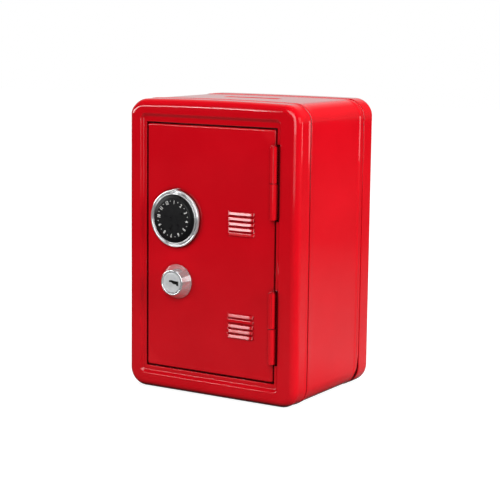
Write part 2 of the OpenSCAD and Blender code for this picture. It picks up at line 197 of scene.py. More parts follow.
def enamel():
    """Glossy sprayed enamel: slow changes of shade, fine orange peel, thinner paint on the edges.

    In narrow gaps, seams and hollows its colour is darkened by painted shade, and it is duller.
    """
    material, tree, surface = shader("red_enamel", 0, 0.12)
    vector = coordinates(tree)
    shade = blend_colour(tree, noise(tree, vector, 22, 4), RED_LOW, RED_HIGH)
    edge = tree.nodes.new("ShaderNodeNewGeometry")
    worn = spread(tree, edge.outputs["Pointiness"], 0, 0.35, 0.53, 0.62)
    mix = tree.nodes.new("ShaderNodeMix")
    mix.data_type = "RGBA"
    mix.inputs["B"].default_value = RED_THIN
    tree.links.new(worn, mix.inputs["Factor"])
    tree.links.new(shade, mix.inputs["A"])
    occlusion = tree.nodes.new("ShaderNodeAmbientOcclusion")
    occlusion.inputs["Distance"].default_value = PAINTED_SHADE_REACH
    occlusion.samples = 8
    # Painted shade: the mix below darkens the red wherever ambient occlusion finds a gap, seam or
    # hollow
    seam = tree.nodes.new("ShaderNodeMix")
    seam.data_type = "RGBA"
    seam.inputs["A"].default_value = RED_PAINTED_SHADE
    painted_shade_mask = spread(tree, occlusion.outputs["AO"], 0, 1, 0.42, 0.93)
    tree.links.new(painted_shade_mask, seam.inputs["Factor"])
    tree.links.new(mix.outputs["Result"], seam.inputs["B"])
    tree.links.new(seam.outputs["Result"], surface.inputs["Base Color"])
    gloss = tree.nodes.new("ShaderNodeMath")
    gloss.operation = "ADD"
    tree.links.new(spread(tree, noise(tree, vector, 60, 5), 0.05, 0.09), gloss.inputs[0])
    tree.links.new(spread(tree, occlusion.outputs["AO"], 0.5, 0, 0.1, 0.5), gloss.inputs[1])
    tree.links.new(gloss.outputs[0], surface.inputs["Roughness"])
    bump(tree, surface, noise(tree, vector, 450, 2), 0.000006, 0.3)
    return material


def chrome(name, metallic, low, high):
    """Bright plating over a polished die casting."""
    material, tree, surface = shader(name, metallic, low)
    vector = coordinates(tree)
    tint = noise(tree, vector, 90, 3)
    shade = blend_colour(tree, tint, (0.78, 0.78, 0.79), (0.88, 0.88, 0.89))
    tree.links.new(shade, surface.inputs["Base Color"])
    haze = spread(tree, noise(tree, vector, 300, 5), low, high)
    tree.links.new(haze, surface.inputs["Roughness"])
    bump(tree, surface, noise(tree, vector, 300, 2), 0.000005, 0.2)
    return material


def black_plastic():
    """Satin moulded plastic with a fine spark-eroded grain."""
    material, tree, surface = shader("black_dial", 0, 0.3, 0.2)
    vector = coordinates(tree)
    tint = noise(tree, vector, 180, 4)
    shade = blend_colour(tree, tint, (0.0025, 0.0025, 0.003), (0.006, 0.006, 0.007))
    tree.links.new(shade, surface.inputs["Base Color"])
    haze = spread(tree, noise(tree, vector, 400, 3), 0.26, 0.4)
    tree.links.new(haze, surface.inputs["Roughness"])
    bump(tree, surface, noise(tree, vector, 5200, 2), 0.000012, 0.35)
    return material


def white_print():
    """White pad-printed ink, slightly uneven."""
    material, tree, surface = shader("white_print", 0, 0.5, 0.4)
    vector = coordinates(tree)
    tint = noise(tree, vector, 1800, 3)
    shade = blend_colour(tree, tint, (0.62, 0.62, 0.6), (0.86, 0.86, 0.84))
    tree.links.new(shade, surface.inputs["Base Color"])
    bump(tree, surface, noise(tree, vector, 4000, 2), 0.000008, 0.4)
    return material


def lined_metal(name, low, high, roughness, stretch, line_scale, metallic=1, specular=0.5):
    """Bare or plated metal with fine lines left by drawing or stamping."""
    material, tree, surface = shader(name, metallic, roughness, specular)
    lines = noise(tree, coordinates(tree, stretch), line_scale, 4, 0.6)
    patches = noise(tree, coordinates(tree), 120, 3)
    tree.links.new(blend_colour(tree, patches, low, high), surface.inputs["Base Color"])
    haze = spread(tree, lines, roughness * 0.75, roughness * 1.3)
    tree.links.new(haze, surface.inputs["Roughness"])
    bump(tree, surface, lines, 0.00001, 0.4)
    return material


def plug_metal():
    """Nickel plug face with the fine rings that turning leaves round its axis."""
    material, tree, surface = shader("plug_metal", 0.4, 0.4)
    place = tree.nodes.new("ShaderNodeTexCoord")
    offset = tree.nodes.new("ShaderNodeVectorMath")
    offset.operation = "SUBTRACT"
    offset.inputs[1].default_value = (LOCK[0] * MM, 0, LOCK[1] * MM)
    tree.links.new(place.outputs["Object"], offset.inputs[0])
    flat = tree.nodes.new("ShaderNodeVectorMath")
    flat.operation = "MULTIPLY"
    flat.inputs[1].default_value = (1, 0, 1)
    tree.links.new(offset.outputs["Vector"], flat.inputs[0])
    radius = tree.nodes.new("ShaderNodeVectorMath")
    radius.operation = "LENGTH"
    tree.links.new(flat.outputs["Vector"], radius.inputs[0])
    rings = tree.nodes.new("ShaderNodeTexNoise")
    rings.noise_dimensions = "1D"
    rings.inputs["Scale"].default_value = 4200
    tree.links.new(radius.outputs["Value"], rings.inputs["W"])
    patches = noise(tree, coordinates(tree), 260, 3)
    tree.links.new(blend_colour(tree, patches, (0.6, 0.61, 0.62), (0.74, 0.75, 0.76)),
                   surface.inputs["Base Color"])
    tree.links.new(spread(tree, patches, 0.35, 0.5), surface.inputs["Roughness"])
    bump(tree, surface, rings.outputs["Fac"], 0.00002, 0.5)
    return material


RED = enamel()
CHROME = chrome("bright_chrome", 0.75, 0.07, 0.12)
SATIN = chrome("satin_chrome", 0.7, 0.1, 0.15)
BLACK = black_plastic()
PRINT = white_print()
PLUG = plug_metal()
ZINC = lined_metal("zinc_steel", (0.58, 0.6, 0.63), (0.7, 0.71, 0.73), 0.28, (1, 1, 0.2), 420)
# Painted shade: a near-black, almost unreflecting finish for the block that fills the keyway, where
# there is only shade
KEYWAY_PAINTED_SHADE = lined_metal("keyway_painted_shade_finish", (0.006, 0.006, 0.006), (0.012, 0.012, 0.011), 0.6,
                   (1, 0.2, 1), 600, metallic=0, specular=0.08)
BRASS = lined_metal("wafer_brass", (0.72, 0.52, 0.22), (0.82, 0.64, 0.32), 0.25,
                    (0.2, 1, 1), 700)


# ---------------------------------------------------------------- mesh helpers

MERGE_DISTANCE = 0.000002
SLIVER = 0.000001


def make_object(name, verts, faces):
    mesh = bpy.data.meshes.new(name)
    mesh.from_pydata([Vector(v) * MM for v in verts], [], faces)
    mesh.validate()
    obj = bpy.data.objects.new(name, mesh)
    bpy.context.scene.collection.objects.link(obj)
    return obj


def tidy_mesh(obj, sharp_degrees=40):
    """Merges double points, turns all faces outwards and marks folds as sharp."""
    work = bmesh.new()
    work.from_mesh(obj.data)
    bmesh.ops.remove_doubles(work, verts=work.verts, dist=MERGE_DISTANCE)
    bmesh.ops.dissolve_degenerate(work, edges=work.edges, dist=SLIVER)
    bmesh.ops.recalc_face_normals(work, faces=work.faces)
    limit = math.radians(sharp_degrees)
    for face in work.faces:
        face.smooth = True
    for edge in work.edges:
        edge.smooth = not (len(edge.link_faces) == 2 and edge.calc_face_angle(0) > limit)
    work.to_mesh(obj.data)
    work.free()


def bake(obj):
    """Turns the modifiers of an object into its mesh."""
    graph = bpy.context.evaluated_depsgraph_get()
    mesh = bpy.data.meshes.new_from_object(obj.evaluated_get(graph))
    obj.modifiers.clear()
    obj.data = mesh


def cut(obj, cutters):
    for cutter in cutters:
        modifier = obj.modifiers.new("cut", "BOOLEAN")
        modifier.operation = "DIFFERENCE"
        modifier.solver = "EXACT"
        modifier.object = cutter
        bake(obj)
        bpy.data.objects.remove(cutter)


def dress(obj, body, nodes, material):
    """Shades a finished piece, gives it its material and puts it on its body."""
    obj.data.materials.clear()
    obj.data.materials.append(material)
    even = obj.modifiers.new("even_normals", "WEIGHTED_NORMAL")
    even.keep_sharp = True
    even.weight = 60
    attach(obj, body)
    if nodes:
        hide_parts(*nodes)
    return obj


def block(name, lo, hi):
    x, y, z = zip(lo, hi)
    verts = [(x[i], y[j], z[k]) for i in (0, 1) for j in (0, 1) for k in (0, 1)]
    faces = [(0, 1, 3, 2), (4, 6, 7, 5), (0, 4, 5, 1), (2, 3, 7, 6), (0, 2, 6, 4), (1, 5, 7, 3)]
    return make_object(name, verts, faces)


def join(name, parts):
    """One object from several, in the order given."""
    work = bmesh.new()
    for part in parts:
        part.data.transform(part.matrix_world)
        work.from_mesh(part.data)
        bpy.data.objects.remove(part)
    mesh = bpy.data.meshes.new(name)
    work.to_mesh(mesh)
    work.free()
    obj = bpy.data.objects.new(name, mesh)
    bpy.context.scene.collection.objects.link(obj)
    return obj


# ---------------------------------------------------------------- lofted sheet metal

ARC_STEPS = 10
WIDE_STEPS = 14
TALL_STEPS = 20


def smooth_step(value, low, high):
    t = min(max((value - low) / (high - low), 0), 1)
    return t * t * (3 - 2 * t)


def crowned(x, z, depth=0):
    """Height with the gentle arch of the case's top. The arch gets flatter towards the back."""
    drop = CROWN * (1 - 0.7 * depth / DEPTH) * (x / HALF_W) ** 2
    return z - drop * smooth_step(z, TOP - 9.5, TOP - 3)


def outline(x0, x1, z0, z1, r):
    """Points of a rounded rectangle, always the same number and in the same order."""
    corners = ((x1 - r, z1 - r, 0), (x0 + r, z1 - r, 90),
               (x0 + r, z0 + r, 180), (x1 - r, z0 + r, 270))
    points = []
    for k, (cx, cz, start) in enumerate(corners):
        for i in range(ARC_STEPS + 1):
            angle = math.radians(start + 90 * i / ARC_STEPS)
            points.append((cx + r * math.cos(angle), cz + r * math.sin(angle)))
        nx, nz, turn = corners[(k + 1) % 4]
        turn = math.radians(turn)
        end = (nx + r * math.cos(turn), nz + r * math.sin(turn))
        steps = WIDE_STEPS if k % 2 == 0 else TALL_STEPS
        sx, sz = points[-1]
        for i in range(1, steps):
            t = i / steps
            points.append((sx + (end[0] - sx) * t, sz + (end[1] - sz) * t))
    return points


def rim(inset, depth, crown=True):
    radius = max(CORNER_R - inset, 0.4)
    points = outline(inset - HALF_W, HALF_W - inset, inset, TOP - inset, radius)
    return [(x, FRONT + depth, crowned(x, z, depth) if crown else z) for x, z in points]


def around(sides, grow, radius, depth):
    """Ring round a rectangle given by its four sides, grown on every side."""
    x0, x1, z0, z1 = sides
    points = outline(x0 - grow, x1 + grow, z0 - grow, z1 + grow, max(radius + grow, 0.05))
    return [(x, FRONT + depth, z) for x, z in points]


def loft(name, rings, loop=False, cap_start=False, cap_end=False):
    count = len(rings[0])
    verts = [point for ring in rings for point in ring]
    faces = []
    for k in range(len(rings) if loop else len(rings) - 1):
        a, b = k * count, (k + 1) % len(rings) * count
        for i in range(count):
            j = (i + 1) % count
            faces.append((a + i, a + j, b + j, b + i))
    if cap_start:
        faces.append(tuple(range(count)))
    if cap_end:
        start = (len(rings) - 1) * count
        faces.append(tuple(range(start + count - 1, start - 1, -1)))
    return make_object(name, verts, faces)


# Rolled edge of a skirt: inset and distance from the skirt's end
ROLL = ((0.86, 0), (0.62, 0.03), (0.4, 0.12), (0.2, 0.3), (0.09, 0.5), (0.05, 0.75), (0.07, 1.0),
        (0.12, 1.3), (0.2, 1.7), (0.28, 2.1), (0.34, 2.5), (0.36, 3.0))
REAR_ROLL = ((0.86, 0), (0.6, 0.01), (0.38, 0.05), (0.2, 0.15), (0.09, 0.3), (0.03, 0.5),
             (0.02, 0.8), (0.02, 1.7), (0.02, 3.2), (0.02, 4.4))
SKIN_INSET = 0.36
REAR_INSET = 0.02
INNER_INSET = 0.87
INNER_START = 0.35


def edge_arc(inset, radius, depth, steps):
    """Rounded edge of the case from its side to its face, which lies at a depth: inset, depth."""
    arc = []
    for i in range(steps + 1):
        angle = math.radians(90 * i / steps)
        arc.append((inset + radius * (1 - math.cos(angle)), depth + radius * (1 - math.sin(angle))))
    return arc


outer_arc = edge_arc(SKIN_INSET, EDGE_R, 0, 10)
rear_arc = edge_arc(REAR_INSET, EDGE_R, 0, 10)
inner_arc = edge_arc(INNER_INSET, EDGE_R - SHEET, SHEET, 6)

# Section of the step between the face and the sunk border: growth of the border outline and depth
STEP = ((1.35, 0), (1.05, 0.03), (0.78, 0.13), (0.5, 0.33), (0, 0.75), (-0.5, 1.17),
        (-0.78, 1.37), (-1.05, 1.47), (-1.3, 1.5))
STEP_BACK = ((-0.62, 2.3), (-0.36, 2.1), (1.1, 0.9), (1.4, 0.8))


def front_frame():
    rings = [rim(inset, SKIRT - back) for inset, back in ROLL]
    rings += [rim(inset, depth) for inset, depth in outer_arc]
    rings += [around(BORDER, grow, BORDER_R, depth) for grow, depth in STEP]
    fold = ((0.42, 1.5), (0.18, 1.55), (0.04, 1.72), (0, 2), (0, 5), (0, LIP_FRONT - 0.2))
    rings += [around(OPENING, grow, OPENING_R, depth) for grow, depth in fold]
    x0, x1, z0, z1 = OPENING
    lip = ((0.25, 0), (LIP_W - 0.15, 0), (LIP_W, 0.15), (LIP_W, SHEET - 0.15),
           (LIP_W - 0.15, SHEET))
    for reach, depth in lip:
        sides = (x0 + reach, x1, z0 + reach, z1 - reach)
        rings.append(around(sides, 0, LIP_R, LIP_FRONT + depth))
    lip_back = LIP_FRONT + SHEET
    fold_back = ((0.6, lip_back), (0.8, lip_back - 0.2), (0.8, 2.6), (0.95, 2.3))
    rings += [around(OPENING, grow, OPENING_R, depth) for grow, depth in fold_back]
    rings += [around(BORDER, grow, BORDER_R, depth) for grow, depth in STEP_BACK]
    rings += [rim(inset, depth) for inset, depth in reversed(inner_arc)]
    rings += [rim(INNER_INSET, SKIRT - INNER_START)]
    obj = loft("front_frame_skin", rings, loop=True)
    tidy_mesh(obj)
    notches = []
    for node in ("upper_door_hinge", "lower_door_hinge"):
        mid = span(node)[0].z - KNUCKLE_GAP / 2
        half = HINGE_LEN / 2 + NOTCH_END
        notches.append(block("notch", (HINGE_X - 4, FRONT - 2, mid - half),
                             (NOTCH_X, FRONT + LIP_FRONT + 3, mid + half)))
    cut(obj, notches)
    tidy_mesh(obj)
    return dress(obj, "case", ["front_frame"], RED)


def rear_cover():
    outer = [rim(inset, DEPTH - REAR_SKIRT + back) for inset, back in REAR_ROLL]
    outer += [rim(inset, DEPTH - depth) for inset, depth in rear_arc]
    outer += [rim(inset, DEPTH, crown=False) for inset in (9, 16, 30)]
    inner = [rim(inset, DEPTH - SHEET, crown=False) for inset in (30, 9)]
    inner += [rim(inset, DEPTH - depth) for inset, depth in reversed(inner_arc)]
    inner += [rim(INNER_INSET, DEPTH - REAR_SKIRT + INNER_START)]
    parts = [loft("rear_cover_skin", outer, cap_end=True),
             loft("rear_cover_inner", inner, cap_start=True)]
    obj = join("rear_cover_skin", parts)
    count = len(outer[0])
    close_gap(obj, count, 0, (len(outer) + len(inner) - 1) * count)
    tidy_mesh(obj)
    return dress(obj, "case", ["rear_cover"], RED)


def close_gap(obj, count, first, second):
    """Bridges two rings of one mesh by the numbers of their first points."""
    work = bmesh.new()
    work.from_mesh(obj.data)
    work.verts.ensure_lookup_table()
    for i in range(count):
        j = (i + 1) % count
        work.faces.new([work.verts[k] for k in (first + i, second + i, second + j, first + j)])
    work.to_mesh(obj.data)
    work.free()


WRAP_INSET = 0.4
WRAP_SHEET = 0.75
SEAM_W = 0.4

# Where the curl of the wrap's rear edge fades in: distance from the middle, and height
CURL_X = (52, 57.5)
CURL_Z = (5, 18)


def wrap_ring(inset, depth, wedge_inset=0, wedge_depth=0):
    """Ring of the wrap. Its rear edge curls away from the rear cover at the bottom corners."""
    ring = []
    for x, y, z in rim(inset, depth):
        amount = (1 - smooth_step(z, *CURL_Z)) * smooth_step(abs(x), *CURL_X)
        side = 1 if x > 0 else -1
        cx, cz = side * (HALF_W - CORNER_R), CORNER_R
        lean = Vector((cx - x, cz - z)) if z < CORNER_R else Vector((-side, 0))
        if lean.length > 0:
            lean.normalize()
        ring.append((x + lean.x * amount * wedge_inset, y + amount * wedge_depth,
                     z + lean.y * amount * wedge_inset))
    return ring


def body_wrap():
    """Sheet of the top, sides and bottom, with a bead at each seam. Both ends lie in a skirt."""
    base = WRAP_INSET
    hidden = INNER_INSET + WRAP_SHEET
    start = wrap_lo.y - FRONT
    end = wrap_hi.y - FRONT
    front_end = ((hidden, start), (hidden, SKIRT + 0.15), (hidden - 0.1, SKIRT + 0.3),
                 (0.8, SKIRT + 0.5), (0.3, SKIRT + 0.65), (0.1, SKIRT + 0.85),
                 (0.02, SKIRT + 1.3), (0.08, SKIRT + 2.5), (0.24, SKIRT + 4.5),
                 (base - 0.04, SKIRT + 7), (base, 30), (base, 52), (base, 70))
    rear_end = ((base, 73, 0, -0.3), (base - 0.04, 73.6, 0, -0.4), (base - 0.15, 74.3, 0, -0.6),
                (base - 0.3, 75, 0, -0.8), (base - 0.36, 75.5, 0, -1),
                (base - 0.34, 75.9, 0, -1.2), (base - 0.22, 76.4, 0, -1.4),
                (base - 0.02, 77, 0, -1.6), (base + 0.1, 77.5, 0.02, -1.8),
                (base + 0.12, 78.2, 0.05, -2.1), (base + 0.08, 79.2, 0.3, -2.2),
                (base + 0.08, 79.7, 1.0, -2.2), (base + 0.15, 80.3, 1.6, -2),
                (base + 0.5, 81.4, 1.8, -1.6), (base + 0.6, end, 0.3, 0))
    outer = front_end + rear_end
    rings = [wrap_ring(*row) for row in outer]
    rings += [wrap_ring(inset + WRAP_SHEET, *rest) for inset, *rest in reversed(outer)]
    obj = loft("body_wrap_skin", rings, loop=True)
    tidy_mesh(obj)
    slot_mid = FRONT + DEPTH / 2
    punch = prism("punch", slot_points(0.35), slot_mid, TOP - 8, TOP + 4)
    seam = block("seam", (-SEAM_W / 2, wrap_lo.y - 1, -1), (SEAM_W / 2, wrap_hi.y + 1, 6))
    cut(obj, [punch, seam])
    obj = join("body_wrap_skin", [obj, slot_edge(slot_mid)])
    tidy_mesh(obj)
    return dress(obj, "case", ["body_wrap"], RED)


def slot_points(grow, half_w=19.0, half_d=2.5, radius=0.9, steps=6):
    """Outline of the coin slot, seen from above."""
    points = []
    r = radius + grow
    for sx, sy, start in ((1, 1, 0), (-1, 1, 90), (-1, -1, 180), (1, -1, 270)):
        cx, cy = sx * (half_w - radius), sy * (half_d - radius)
        for i in range(steps + 1):
            angle = math.radians(start + 90 * i / steps)
            points.append((cx + r * math.cos(angle), cy + r * math.sin(angle)))
        if sx == sy:
            for i in range(1, 10):
                points.append((cx * (1 - i / 5), points[-1][1]))
    return points


def prism(name, points, mid, z0, z1):
    """Upright bar with the given plan, its middle at y = mid."""
    verts = [(x, mid + y, z) for z in (z0, z1) for x, y in points]
    count = len(points)
    faces = [tuple(range(count - 1, -1, -1)), tuple(range(count, 2 * count))]
    faces += [(i, (i + 1) % count, count + (i + 1) % count, count + i) for i in range(count)]
    return make_object(name, verts, faces)


def slot_edge(mid):
    """The pressed lip that turns down into the coin slot."""
    base = TOP - WRAP_INSET
    section = ((0.95, -0.02), (0.8, 0.05), (0.55, 0.09), (0.3, 0.04), (0.1, -0.12), (0, -0.4),
               (0, -1.5), (0.08, -1.6), (0.36, -1.6), (0.45, -1.5), (0.5, -0.8), (0.95, -0.7))
    rings = []
    for grow, rise in section:
        rings.append([(x, mid + y, crowned(x, base, DEPTH / 2) + rise)
                      for x, y in slot_points(grow)])
    return loft("slot_edge", rings, loop=True)


# ---------------------------------------------------------------- door

def louvre_height(u, t, out):
    """Height of a louvre: u from its middle, t from its top edge (0) to its open edge (1)."""
    end = LOUVRE_W / 2 - abs(u)
    if end <= 0 or t <= 0:
        return 0
    ends = math.sqrt(1 - (1 - min(end / LOUVRE_END, 1)) ** 2)
    return out * ends * (0.6 * math.sin(min(t / 0.25, 1) * math.pi / 2) + 0.4 * min(t, 1))


def louvre_columns():
    half = LOUVRE_W / 2
    fine = [half - d for d in (0, 0.05, 0.15, 0.3, 0.55, 0.85, 1.25, LOUVRE_END)]
    right = [half + 1.1, half + 0.5] + fine + [half - 3, half - 6]
    return [-x for x in right] + [0.0] + right[::-1]


# Each louvre is bent a little differently, as on a punched door
LOUVRE_BENDS = ((1.0, 1.05, 0.97, 1.03, 0.7), (1.07, 0.93, 1.12, 1.13, 1.16))


def louvre_grid(verts, faces, mid_z, bends):
    """Adds a block of louvres to a mesh and returns the loop of point numbers round it."""
    columns = louvre_columns()
    rows = []
    top = mid_z + (LOUVRES - 1) / 2 * LOUVRE_PITCH + LOUVRE_H / 2

    def add_row(z, t, out):
        row = []
        for u in columns:
            verts.append((LOUVRE_X + u, DOOR_FACE - louvre_height(u, t, out), z))
            row.append(len(verts) - 1)
        return row

    rows.append((add_row(top + LOUVRE_MARGIN, 0, 0), False))
    for n in range(LOUVRES):
        z0 = top - n * LOUVRE_PITCH
        out = LOUVRE_OUT * bends[n]
        for t in (0, 0.05, 0.1, 0.15, 0.2, 0.25, 0.35, 0.5, 0.75, 1):
            rows.append((add_row(z0 - t * LOUVRE_H, t, out), False))
        open_row = rows[-1][0]
        closed = []
        for i, u in enumerate(columns):
            if abs(u) >= LOUVRE_W / 2:
                closed.append(open_row[i])
            else:
                verts.append((LOUVRE_X + u, DOOR_FACE, z0 - LOUVRE_H))
                closed.append(len(verts) - 1)
        rows.append((closed, True))
    bottom = top - (LOUVRES - 1) * LOUVRE_PITCH - LOUVRE_H
    rows.append((add_row(bottom - LOUVRE_MARGIN, 0, 0), False))
    for (upper, _), (lower, mouth) in zip(rows, rows[1:]):
        if mouth:
            continue
        for i in range(len(columns) - 1):
            faces.append((upper[i], lower[i], lower[i + 1], upper[i + 1]))
    left, right = [], []
    for row, mouth in rows:
        if not mouth:
            left.append(row[0])
            right.append(row[-1])
    return rows[0][0] + right[1:-1] + rows[-1][0][::-1] + left[1:-1][::-1]


def circle_points(cx, cz, radius, count):
    angles = [2 * math.pi * i / count for i in range(count)]
    return [(cx + radius * math.cos(a), cz + radius * math.sin(a)) for a in angles]


def door_panel():
    fold = 0.95
    path = [(0, DOOR_BACK), (0, DOOR_BACK - 2), (0, RECESS + fold + 0.6)]
    for i in range(7):
        angle = math.radians(90 * i / 6)
        path.append((-fold * (1 - math.cos(angle)), RECESS + fold * (1 - math.sin(angle))))
    path.append((-1.7, RECESS))
    rings = [around(DOOR, grow, DOOR_R, depth) for grow, depth in path]
    count = len(rings[0])
    verts = [point for ring in rings for point in ring]
    faces = []
    for k in range(len(rings) - 1):
        for i in range(count):
            j = (i + 1) % count
            a, b = k * count, (k + 1) * count
            faces.append((a + i, a + j, b + j, b + i))
    loops = [[(len(rings) - 1) * count + i for i in range(count)]]
    for mid_z, bends in zip(LOUVRE_Z, LOUVRE_BENDS):
        loops.append(louvre_grid(verts, faces, mid_z, bends))
    for (cx, cz), radius in ((DIAL, DIAL_HOLE_R), (LOCK, LOCK_HOLE_R)):
        for wide in (radius, radius + 0.6):
            start = len(verts)
            verts += [(x, DOOR_FACE, z) for x, z in circle_points(cx, cz, wide, HOLE_STEPS)]
        before = start - HOLE_STEPS
        for i in range(HOLE_STEPS):
            j = (i + 1) % HOLE_STEPS
            faces.append((before + i, before + j, start + j, start + i))
        loops.append([start + i for i in range(HOLE_STEPS)])
    obj = make_object("door_panel_skin", verts, faces)
    work = bmesh.new()
    work.from_mesh(obj.data)
    work.verts.ensure_lookup_table()
    edges = []
    for loop in loops:
        for a, b in zip(loop, loop[1:] + loop[:1]):
            va, vb = work.verts[a], work.verts[b]
            edges.append(work.edges.get((va, vb)) or work.edges.new((va, vb)))
    bmesh.ops.triangle_fill(work, edges=edges, use_beauty=True, normal=(0, -1, 0))
    bmesh.ops.recalc_face_normals(work, faces=work.faces)
    front = max(work.faces, key=lambda f: f.calc_area())
    if front.normal.y > 0:
        bmesh.ops.reverse_faces(work, faces=work.faces)
    work.to_mesh(obj.data)
    work.free()
    thin = obj.vertex_groups.new(name="sheet")
    for vertex in obj.data.vertices:
        raised = DOOR_FACE * MM - vertex.co.y
        thin.add([vertex.index], 1 - 0.45 * smooth_step(raised / MM, 0.05, 0.6), "REPLACE")
    thick = obj.modifiers.new("sheet", "SOLIDIFY")
    thick.thickness = SHEET * MM
    thick.offset = -1
    thick.use_even_offset = False
    thick.vertex_group = "sheet"
    bake(obj)
    tidy_mesh(obj)
    return dress(obj, "door", ["door_panel"], RED)


# ---------------------------------------------------------------- hinges

def extrude_section(name, points, z0, z1, soft=0.18):
    """Upright bar with the given plan section and slightly softened ends."""
    count = len(points)
    cx = sum(p[0] for p in points) / count
    cy = sum(p[1] for p in points) / count
    levels = ((z0, soft), (z0 + soft * 0.3, soft * 0.3), (z0 + soft, 0), (z1 - soft, 0),
              (z1 - soft * 0.3, soft * 0.3), (z1, soft))
    rings = []
    for z, inset in levels:
        ring = []
        for i, (x, y) in enumerate(points):
            px, py = points[i - 1]
            nx, ny = points[(i + 1) % count]
            tangent = Vector((nx - px, ny - py))
            inward = Vector((-tangent.y, tangent.x))
            if inward.length > 0:
                inward.normalize()
            ring.append((x + inward.x * inset, y + inward.y * inset, z))
        rings.append(ring)
    return loft(name, rings, cap_start=True, cap_end=True)


def knuckle_section(cx, cy, inner, seam_degrees):
    """Plan of a rolled hinge knuckle with the fine seam where the sheet's end meets its back."""
    points = []
    steps = 44
    for i in range(steps + 1):
        angle = math.radians(seam_degrees + 2 + 356 * i / steps)
        points.append((cx + BARREL_R * math.cos(angle), cy + BARREL_R * math.sin(angle)))
    for i in range(steps, -1, -1):
        angle = math.radians(seam_degrees + 2 + 356 * i / steps)
        points.append((cx + inner * math.cos(angle), cy + inner * math.sin(angle)))
    return points


def rounded_bar(name, x0, x1, y0, y1, z0, z1, soft):
    obj = block(name, (x0, y0, z0), (x1, y1, z1))
    bevel = obj.modifiers.new("soft", "BEVEL")
    bevel.width = soft * MM
    bevel.segments = 3
    bake(obj)
    return obj


LEAF_SOFT = 0.12


def hinge_leaf(node, body, on_door):
    """Rolled knuckle with its plate on the door, or with its web and foot on the frame."""
    lo, hi = span(node)
    axis_y = FRONT + HINGE_DEPTH
    if on_door:
        z0, z1 = lo.z, hi.z
        knuckle = knuckle_section(HINGE_X, axis_y, 1.06, 300)
        parts = [extrude_section("knuckle", knuckle, z0, z1)]
        parts.append(rounded_bar("plate", HINGE_X + 0.02, HINGE_X + 0.7, axis_y + 1.2, hi.y,
                                 z0, z1, LEAF_SOFT))
    else:
        z0, z1 = lo.z, lo.z + (HINGE_LEN - KNUCKLE_GAP) / 2
        web = HINGE_X + BARREL_R - 0.7
        back = DOOR_FACE + SHEET
        knuckle = knuckle_section(HINGE_X, axis_y, 1.02, 240)
        parts = [extrude_section("knuckle", knuckle, z0, z1)]
        parts.append(rounded_bar("web", web, HINGE_X + BARREL_R, axis_y, back + 0.7,
                                 z0 + 0.05, z1 - 0.05, LEAF_SOFT))
        parts.append(rounded_bar("foot", web, hi.x, back + 0.02, hi.y, z0, hi.z, LEAF_SOFT))
    obj = join(node + "_leaf", parts)
    tidy_mesh(obj, 50)
    return dress(obj, body, [node], RED)


# ---------------------------------------------------------------- turned parts

def lathe(name, centre, section, steps=128, closed=True):
    """Turned part about an axis into the door. The section is radius and height above the door."""
    cx, cz = centre
    verts, faces = [], []
    rows = []
    for radius, height in section:
        if radius < 0.001:
            verts.append((cx, DOOR_FACE - height, cz))
            rows.append([len(verts) - 1] * steps)
            continue
        row = []
        for i in range(steps):
            angle = 2 * math.pi * i / steps
            verts.append((cx + radius * math.cos(angle), DOOR_FACE - height,
                          cz + radius * math.sin(angle)))
            row.append(len(verts) - 1)
        rows.append(row)
    pairs = list(zip(rows, rows[1:]))
    if closed:
        pairs.append((rows[-1], rows[0]))
    for a, b in pairs:
        for i in range(steps):
            j = (i + 1) % steps
            face = []
            for k in (a[i], a[j], b[j], b[i]):
                if k not in face:
                    face.append(k)
            if len(face) > 2:
                faces.append(tuple(face))
    return make_object(name, verts, faces)


def rounded(points, radius, steps=3):
    """Softens the inner corners of an open section."""
    result = [points[0]]
    for before, here, after in zip(points, points[1:], points[2:]):
        a, b, c = Vector(before), Vector(here), Vector(after)
        reach = min(radius, (b - a).length * 0.45, (c - b).length * 0.45)
        start = b + (a - b).normalized() * reach
        end = b + (c - b).normalized() * reach
        for i in range(steps + 1):
            t = i / steps
            point = start.lerp(b, t).lerp(b.lerp(end, t), t)
            result.append((point.x, point.y))
    result.append(points[-1])
    return result


RING_BEAD_R = 0.7
RING_BORE_R = 3.06
RING_BUSH_R = 4.2


def dial_ring():
    """Fixed ring: a floor, a bead round it that is cut under outside, and a clinched bush."""
    rim_r = (ring_hi.x - ring_lo.x) / 2
    section = rounded([(RING_BORE_R, 0.6), (15.96, 0.6), (15.96, 1.9)], 0.2, 3)
    for i in range(15):
        angle = math.radians(170 - 17 * i)
        section.append((rim_r - RING_BEAD_R + RING_BEAD_R * math.cos(angle),
                        1.7 + RING_BEAD_R * math.sin(angle)))
    section += [(rim_r - 0.75, 0.75), (rim_r - 0.75, 0.0), (RING_BUSH_R, 0.0)]
    section += [(RING_BUSH_R, -SHEET), (5.4, -SHEET), (5.6, -SHEET - 0.2), (5.5, -SHEET - 0.9),
                (RING_BORE_R, -SHEET - 0.9)]
    obj = lathe("dial_ring_turned", DIAL, section)
    mark = index_mark()
    obj = join("dial_ring_turned", [obj, mark])
    tidy_mesh(obj)
    return dress(obj, "door", ["dial_base_ring"], SATIN)


def index_mark():
    """Small raised arrow at the top of the fixed ring."""
    x, z = DIAL
    front = ring_lo.y
    base = DOOR_FACE - 0.4
    arrow = [(-1.2, 17.93), (-1.0, 17.95), (1.0, 17.95), (1.2, 17.93), (0.12, 16.0), (-0.12, 16.0)]
    mid = 17.2
    rings = []
    for y, shrink in ((base, 1.0), (front + 0.35, 1.0), (front + 0.08, 0.86), (front, 0.6)):
        rings.append([(x + px * shrink, y, z + mid + (pz - mid) * shrink) for px, pz in arrow])
    return loft("mark", rings, cap_start=True, cap_end=True)


